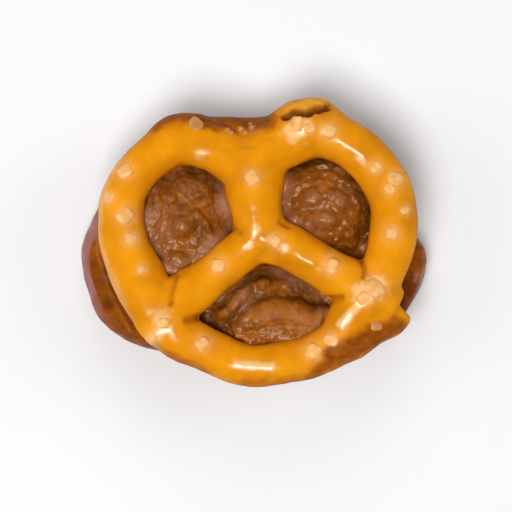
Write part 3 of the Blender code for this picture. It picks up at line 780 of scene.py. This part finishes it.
# The groove is painted darker: painted shade.
note(lower, "crease_shade", 0.75 * groove)
note(lower, "burst", np.zeros(len(spots)))
note(lower, "glaze", np.clip(0.2 + 0.6 * wavy(spots, 1.2, 8.0), 0, 1) * (1 - on_back))
note(lower, "bloom_and_sheen", np.clip(0.9 * grazing_sheen + (0.08 * fold + 0.9 * salt_and_highlight_flecks) * on_back, 0, 1))
print(f"{100 * np.mean(grazing_sheen > 0.3):.0f}% of the lower crust has a bloom")

# %% [markdown]
# The cream is painted paler and pinker where it is smooth: on the collars that climb the dough and on the
# flat tops of the mounds, as a painted sheen. Some of it has dried and is duller than the rest: the broad fold
# in the lowest hole, the hollow beside it, the far half of the left hole and a ridge there.

# %% Painted sheen on the cream, and where it is dull
SHEEN_TOPS = [  # as (x, y, radius)
    (7.6, 5.6, 1.2), (10.7, 5.5, 1.2), (8.7, 3.2, 1.2), (-9.2, 2.2, 0.9), (-11.0, 1.6, 1.4), (-1.4, -6.6, 1.6),
]
DULL_RIDGE = (-6.0, 1.0, 1.5)
spots = places(filling)
pressed = 0.55 * dots(spots, SHEEN_TOPS)
# The collars and the mound tops get a painted sheen.
note(filling, "collar", np.clip(np.maximum(0.9 * collar_film_and_sheen, pressed) * on_top, 0, 1))
far_half = 0.7 * ramp(spots[:, 1], 1.5, 4.5) * (spots[:, 0] < 0)
in_hollow = hill(from_path(spots, HOLLOW_SIDE), 1.5)
note(filling, "matt", np.max([on_tongue, far_half, 0.7 * dots(spots, [DULL_RIDGE]), 0.5 * in_hollow], axis=0))
print(f"{100 * np.mean(pressed > 0.3):.0f}% of the cream was pressed smooth")

# %% [markdown]
# Little light reaches the cream in the hollows, so the photo shows them darker than soft studio light
# leaves them. A last attribute paints that shade into the cocoa along paths in plan, and paints light on the
# crest of the broad fold.

# %% Painted shade in the cream's hollows, and painted light on the fold
SHADED_HOLLOWS = [  # each a path, its half width and how dark
    ([(-3.2, -10.3), (-1.7, -8.4), (0.3, -7.1), (2.7, -6.6), (5.4, -7.1), (7.4, -8.1)], 0.6, 0.35),
    ([(-7.6, 2.8), (-6.8, 0.6), (-7.3, -1.6)], 0.6, 0.3),
    ([(13.3, 6.2), (14.2, 4.1), (14.5, 2.2), (14.7, 0.4)], 0.8, 0.5),
    ([(4.4, 8.6), (6.2, 9.8), (8.9, 10.3), (11.4, 9.6), (12.8, 8.1)], 0.8, 0.4),
    ([(-11.8, 7.4), (-8.9, 8.9), (-6.2, 8.6), (-4.3, 7.0)], 0.7, 0.3),
    ([(-6.3, -9.1), (-5.1, -8.0), (-3.9, -7.0)], 0.8, 0.35), ([(-5.6, -9.9), (-3.9, -11.2)], 0.7, 0.35),
    ([(-0.9, -4.4), (1.4, -3.8), (3.3, -4.2), (5.2, -5.2), (7.0, -6.2)], 0.7, 0.35),
]
# Painted light on the fold's crest, and painted shade in the hollows.
painted_shade_and_light = 0.18 * on_tongue
for path, width, depth in SHADED_HOLLOWS:
    painted_shade_and_light -= depth * hill(from_path(spots, path) + 0.2 * wavy(spots, 1.0, 6.0), width)
note(filling, "painted_shade_and_light", painted_shade_and_light)
print(f"{len(SHADED_HOLLOWS)} dark hollows")

# %% [markdown]
# Materials are built as node trees, each from the same few parts: a new Principled material, a cloud of
# noise measured in millimetres, an attribute that is read back, and a range that it is mapped to.

# %% Small tools for materials
def new_material(name):
    """A new material with its nodes, its links and its Principled shader."""
    material = bpy.data.materials.new(name)
    material.use_nodes = True
    nodes = material.node_tree.nodes
    return material, nodes, material.node_tree.links, nodes["Principled BSDF"]


def add(nodes, kind, **settings):
    """A new node with these settings."""
    node = nodes.new(kind)
    for name, value in settings.items():
        setattr(node, name, value)
    return node


def cloud(nodes, links, size, detail=3.0):
    """A noise pattern whose lumps are about this many millimetres apart."""
    place = add(nodes, "ShaderNodeTexCoord")
    pattern = add(nodes, "ShaderNodeTexNoise")
    pattern.inputs["Scale"].default_value = 1 / (size * MM)
    pattern.inputs["Detail"].default_value = detail
    links.new(place.outputs["Object"], pattern.inputs["Vector"])
    return pattern.outputs["Fac"]


def reading(nodes, name):
    """The number that note() wrote under this name."""
    return add(nodes, "ShaderNodeAttribute", attribute_name=name).outputs["Fac"]


def between(nodes, links, source, at_none, at_full):
    """A number that goes from the first to the second as its source goes from 0 to 1."""
    node = add(nodes, "ShaderNodeMapRange")
    node.inputs["To Min"].default_value = at_none
    node.inputs["To Max"].default_value = at_full
    links.new(source, node.inputs["Value"])
    return node.outputs["Result"]


# %% [markdown]
# Colours are chosen through colour ramps and mixes, so that each can be changed by hand in the node editor.
# Relief too fine for the mesh is left to bump nodes.

# %% Tools for colour and relief
def stops(nodes, links, source, colours):
    """A colour ramp through (position, (r, g, b)) stops."""
    node = add(nodes, "ShaderNodeValToRGB")
    elements = node.color_ramp.elements
    while len(elements) < len(colours):
        elements.new(0.5)
    for element, (position, colour) in zip(elements, colours):
        element.position = position
        element.color = (*colour, 1)
    links.new(source, node.inputs["Fac"])
    return node.outputs["Color"]


def blend_colours(nodes, links, share, first, second, blend="MIX"):
    """Mixes two colours, each a socket or an (r, g, b), by a share that is a socket or a number."""
    node = add(nodes, "ShaderNodeMix", data_type="RGBA", blend_type=blend)
    for socket, value in zip((node.inputs[0], node.inputs[6], node.inputs[7]), (share, first, second)):
        if isinstance(value, bpy.types.NodeSocket):
            links.new(value, socket)
        else:
            socket.default_value = value if isinstance(value, (int, float)) else (*value, 1)
    return node.outputs[2]


def bumps(nodes, links, shader, layers):
    """Chains bump nodes, one for each (height pattern, distance in millimetres, strength)."""
    previous = None
    for height, distance, strength in layers:
        node = add(nodes, "ShaderNodeBump")
        node.inputs["Distance"].default_value = distance * MM
        node.inputs["Strength"].default_value = strength
        links.new(height, node.inputs["Height"])
        if previous:
            links.new(previous, node.inputs["Normal"])
        previous = node.outputs["Normal"]
    links.new(previous, shader.inputs["Normal"])


# %% [markdown]
# The crust is dough dipped in a soda bath, which bakes to a glossy golden brown. Its material mixes
# three crust colours by the browning, which also holds painted shade, and adds cloudy variation. Over that
# come the pale bloom with its painted highlights and painted reflection, the pale torn dough of the burst and
# the painted shade of the creases. The glaze is a clear coat where it pooled, over a crust whose own weak
# sheen is golden, as a white one would look like dust.

# %% The crust
SATIN, GLOSSY = 0.55, 0.28  # roughness
GOLDEN = (0.80, 0.29, 0.004)
AMBER = (0.50, 0.13, 0.004)
CHESTNUT = (0.20, 0.045, 0.004)
TORN_DOUGH = (0.90, 0.42, 0.05)
# The dark of the creases: painted shade.
CREASE_SHADE = (0.24, 0.06, 0.004)


def crust_material(name, colours, bloom_and_sheen_colour, bloom_and_sheen_share):
    """A baked crust: colours holds (browning, colour) stops."""
    material, nodes, links, shader = new_material(name)
    baked = stops(nodes, links, reading(nodes, "browning_and_shade"), colours)
    cloudy = stops(nodes, links, cloud(nodes, links, 3.5), [
        (0.35, (0.88, 0.84, 0.8)), (0.65, (1.05, 1.07, 1.1))])
    colour = blend_colours(nodes, links, 1.0, baked, cloudy, "MULTIPLY")
    share = add(nodes, "ShaderNodeMath", operation="MULTIPLY")
    share.inputs[1].default_value = bloom_and_sheen_share
    links.new(reading(nodes, "bloom_and_sheen"), share.inputs[0])
    colour = blend_colours(nodes, links, share.outputs[0], colour, bloom_and_sheen_colour)
    colour = blend_colours(nodes, links, reading(nodes, "burst"), colour, TORN_DOUGH)
    colour = blend_colours(nodes, links, reading(nodes, "crease_shade"), colour, CREASE_SHADE)
    links.new(colour, shader.inputs["Base Color"])
    links.new(between(nodes, links, reading(nodes, "glaze"), SATIN, GLOSSY), shader.inputs["Roughness"])
    shader.inputs["Specular IOR Level"].default_value = 0.12
    shader.inputs["Specular Tint"].default_value = (1.0, 0.62, 0.12, 1)
    links.new(reading(nodes, "glaze"), shader.inputs["Coat Weight"])
    shader.inputs["Coat Roughness"].default_value = 0.2
    shader.inputs["Coat IOR"].default_value = 1.6
    bumps(nodes, links, shader, [
        (cloud(nodes, links, 1.2, 2.0), 0.12, 0.2), (cloud(nodes, links, 0.3, 2.0), 0.03, 0.15)])
    return material


# The pale colour of melted salt, also used for painted highlights and a painted reflection.
MELTED_SALT_AND_HIGHLIGHT = (0.96, 0.57, 0.23)
golden_crust = crust_material(
    "golden_crust", [(0.0, GOLDEN), (0.45, AMBER), (1.0, CHESTNUT)], MELTED_SALT_AND_HIGHLIGHT, 0.9)
print("made", golden_crust.name)

# %% The darker crust of the lower pretzel, partly painted shade
# Greyish pink of a painted reflection and painted highlights on the lower pretzel.
LOWER_SHEEN = (0.40, 0.18, 0.17)
shaded_brown_crust = crust_material(
    "shaded_brown_crust", [(0.1, (0.40, 0.105, 0.004)), (0.6, (0.25, 0.058, 0.004)), (1.0, (0.12, 0.025, 0.004))],
    LOWER_SHEEN, 0.85)
print("made", shaded_brown_crust.name)

# %% [markdown]
# Chocolate cream is cocoa in fat: dark brown, a little cloudy and moist, with a paler and pinker painted
# sheen where it was pressed smooth, and painted shade in its hollows. Bumps in the shape of small beads break
# its shine into sparkles.

# %% Beads of cream
def beads(nodes, links, size):
    """A pattern of small domes, about this many millimetres apart."""
    place = add(nodes, "ShaderNodeTexCoord")
    pattern = add(nodes, "ShaderNodeTexVoronoi", feature="SMOOTH_F1")
    pattern.inputs["Scale"].default_value = 1 / (size * MM)
    links.new(place.outputs["Object"], pattern.inputs["Vector"])
    upside = add(nodes, "ShaderNodeMath", operation="SUBTRACT")
    upside.inputs[0].default_value = 1.0
    links.new(pattern.outputs["Distance"], upside.inputs[1])
    return upside.outputs[0]


# %% The filling's material
MOIST, DRY = 0.32, 0.6  # roughness
# The pale pink of a painted sheen on the smooth cream.
CREAM_SHEEN = (0.36, 0.15, 0.07)
cream, nodes, links, shader = new_material("chocolate_cream")
# The cocoa pattern, with the painted shade and light added.
strength = add(nodes, "ShaderNodeMath", operation="ADD")
links.new(cloud(nodes, links, 1.4), strength.inputs[0])
links.new(reading(nodes, "painted_shade_and_light"), strength.inputs[1])
cocoa = stops(nodes, links, strength.outputs[0], [
    (0.0, (0.10, 0.034, 0.001)), (0.3, (0.17, 0.048, 0.002)),
    (0.7, (0.35, 0.105, 0.006)), (1.0, (0.45, 0.16, 0.02)),
])
colour = blend_colours(nodes, links, reading(nodes, "collar"), cocoa, CREAM_SHEEN)
links.new(colour, shader.inputs["Base Color"])
links.new(between(nodes, links, reading(nodes, "matt"), MOIST, DRY), shader.inputs["Roughness"])
shader.inputs["Specular Tint"].default_value = (1.0, 0.8, 0.68, 1)
bumps(nodes, links, shader, [
    (cloud(nodes, links, 0.7, 2.0), 0.1, 0.4), (beads(nodes, links, 0.45), 0.15, 0.6)])
print("made", cream.name)

# %% [markdown]
# The salt took on the colour of the glaze. Its crystals are cloudy, which a mottled colour shows well enough
# at this size, and the toasted ones are as brown as the crust round them.

# %% Salt's material
TOASTED_SALT = (0.48, 0.19, 0.06)
salt, nodes, links, shader = new_material("coarse_salt")
cloudy = stops(nodes, links, cloud(nodes, links, 0.8), [
    (0.34, (0.86, 0.40, 0.08)), (0.52, (0.90, 0.47, 0.16)), (0.7, (0.94, 0.56, 0.27))])
colour = blend_colours(nodes, links, reading(nodes, "toasted"), cloudy, TOASTED_SALT)
links.new(colour, shader.inputs["Base Color"])
shader.inputs["Roughness"].default_value = 0.4
shader.inputs["Specular IOR Level"].default_value = 0.35
shader.inputs["Specular Tint"].default_value = (1.0, 0.85, 0.65, 1)
bumps(nodes, links, shader, [(cloud(nodes, links, 0.5, 2.0), 0.05, 0.4)])
print("made", salt.name)

# %% [markdown]
# Each finished piece rides on the frame and takes the place of its plain solid. The salt was part of the
# plain pretzels, and here it is its own piece so that it can have its own colour.

# %% Dressing the pieces
for piece, finish, slot_name in (
    (upper, golden_crust, "crust_golden"),
    (lower, shaded_brown_crust, "crust_brown"),
    (filling, cream, "chocolate_filling"),
    (upper_salt, salt, "salt"),
    (lower_salt, salt, "salt"),
):
    piece.data.materials.clear()
    piece.data.materials.append(finish)
    piece.data.shade_smooth()
    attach(piece, "root")
    print(piece.name, "has", len(piece.data.polygons), "faces of", finish.name)
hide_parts("pretzel_upper")
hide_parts("pretzel_lower")
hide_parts("chocolate_filling")

# %% [markdown]
# The pretzel lies on a pale table, a plain grid of one face, so large that its far edge stays out of sight.

# %% Table
TABLE_SIZE = 3.0
floor_mesh = bpy.data.meshes.new("table")
body = bmesh.new()
bmesh.ops.create_grid(body, x_segments=1, y_segments=1, size=TABLE_SIZE)
body.to_mesh(floor_mesh)
body.free()
table = bpy.data.objects.new("table", floor_mesh)
bpy.context.scene.collection.objects.link(table)
table_paint, nodes, links, shader = new_material("pale_table")
shader.inputs["Base Color"].default_value = (0.9, 0.9, 0.9, 1)
shader.inputs["Roughness"].default_value = 0.8
floor_mesh.materials.append(table_paint)
print(f"a table {2 * TABLE_SIZE:.0f} m wide")

# %% [markdown]
# The bright marks on the glaze lie a little to the lower left of the crowns, so one key light stands there,
# large enough for soft edges. The rest of the light only brightens: it would otherwise haze the crust.

# %% Lights
world = bpy.data.worlds.new("studio")
world.use_nodes = True
world.node_tree.nodes["Background"].inputs["Color"].default_value = (0.92, 0.95, 1.0, 1)
world.node_tree.nodes["Background"].inputs["Strength"].default_value = 0.035
bpy.context.scene.world = world


def softbox(name, place, size, power, mirrored=True):
    """A square soft light aimed at the pretzel. One that isn't mirrored brightens it without a reflection."""
    lamp = bpy.data.lights.new(name, "AREA")
    lamp.size = size
    lamp.energy = power
    box = bpy.data.objects.new(name, lamp)
    box.location = place
    box.rotation_euler = (Vector((0, 0, 0.01)) - Vector(place)).to_track_quat("-Z", "Y").to_euler()
    box.visible_glossy = mirrored
    bpy.context.scene.collection.objects.link(box)
    print(f"{name}: {power} W over {size} m")


softbox("key", (-0.09, -0.17, 0.55), size=0.26, power=2.45)
softbox("overhead", (0.0, 0.05, 0.6), size=0.5, power=0.26, mirrored=False)
softbox("left_fill", (-0.4, 0.0, 0.3), size=0.3, power=0.49, mirrored=False)
softbox("right_fill", (0.4, 0.1, 0.3), size=0.3, power=0.56, mirrored=False)
softbox("far_fill", (0.0, 0.4, 0.35), size=0.3, power=0.56, mirrored=False)

# %% [markdown]
# The camera looks straight down from a quarter of a metre with a long lens, as the way that the holes and the
# lower pretzel's edges line up in the photo asks. The plain view transform keeps the golden colours clean.

# %% Camera
CAMERA_PLACE = (0.00031, -0.00163, 0.2505)
camera_data = bpy.data.cameras.new("camera")
camera_data.lens = 135  # in millimetres, as the width of the sensor is
camera_data.sensor_width = 36
camera_data.clip_start = 0.01
camera = bpy.data.objects.new("camera", camera_data)
camera.location = CAMERA_PLACE
bpy.context.scene.collection.objects.link(camera)
bpy.context.scene.camera = camera
bpy.context.scene.view_settings.view_transform = "Standard"
print(f"the camera stands {CAMERA_PLACE[2]} m above the table")
